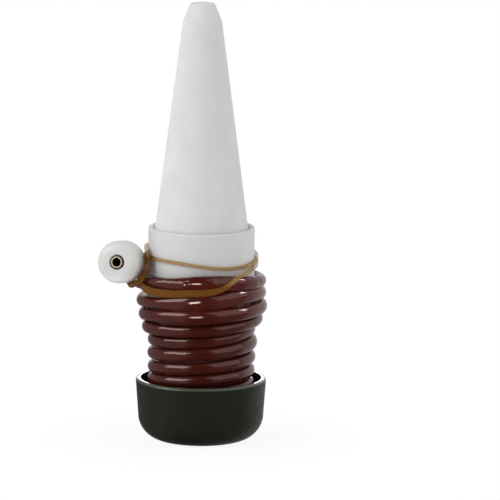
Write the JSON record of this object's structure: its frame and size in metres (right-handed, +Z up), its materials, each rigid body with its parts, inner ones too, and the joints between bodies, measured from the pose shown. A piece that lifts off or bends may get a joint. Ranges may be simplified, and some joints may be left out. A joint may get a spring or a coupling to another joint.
{
  "type": "self watering spike",
  "caption": "Hollow clay watering cone in a plastic neck, standing on its screw cap, with its supply hose wound round the neck and a ceramic sinker held by a rubber band.",
  "frame": {"origin": "Centre of the flat face of the screw cap, on which the spike stands when it is put away", "axes": "+Z runs up along the axis of the cone to its tip, -Y is the front where the rubber band crosses, and the sinker hangs on the -X side"},
  "size_m": [0.0419, 0.0327, 0.11],
  "materials": {
    "cap_plastic": "satin dark green polyethylene",
    "gasket_rubber": "soft black rubber",
    "neck_plastic": "smooth white plastic",
    "cone_clay": "unglazed porous white clay",
    "cement": "matte pale cement",
    "hose_vinyl": "glossy brown soft vinyl",
    "sinker_ceramic": "white satin glazed ceramic",
    "band_rubber": "amber natural rubber"
  },
  "bodies": {
    "cap": {"screw_cap": "cap_plastic"},
    "gasket": {"cap_gasket": "gasket_rubber"},
    "spike": {"neck_collar": "neck_plastic", "ceramic_cone": "cone_clay", "cone_cement": "cement", "hose_nipple": "neck_plastic", "hose_coil": "hose_vinyl", "hose_tail": "hose_vinyl", "rubber_band": "band_rubber"},
    "sinker": {"sinker": "sinker_ceramic"}
  },
  "joints": [
    {"name": "unscrew_turn", "type": "hinge", "parent": "cap", "child": "gasket", "pos_m": [0, 0, 0], "axis": [0, 0, 1], "range_deg": [0, 1530]},
    {"name": "unscrew_lift", "type": "slide", "parent": "gasket", "child": "spike", "axis": [0, 0, 1], "range_m": [0, 0.0129]},
    {"name": "sinker_slide", "type": "slide", "parent": "spike", "child": "sinker", "axis": [-0.2392, -0.9594, 0.1495], "range_m": [0, 0.004]}
  ],
  "couplings": [
    {"joint": "unscrew_lift", "follows": "unscrew_turn", "m_per_rad": 0.00047746}
  ]
}
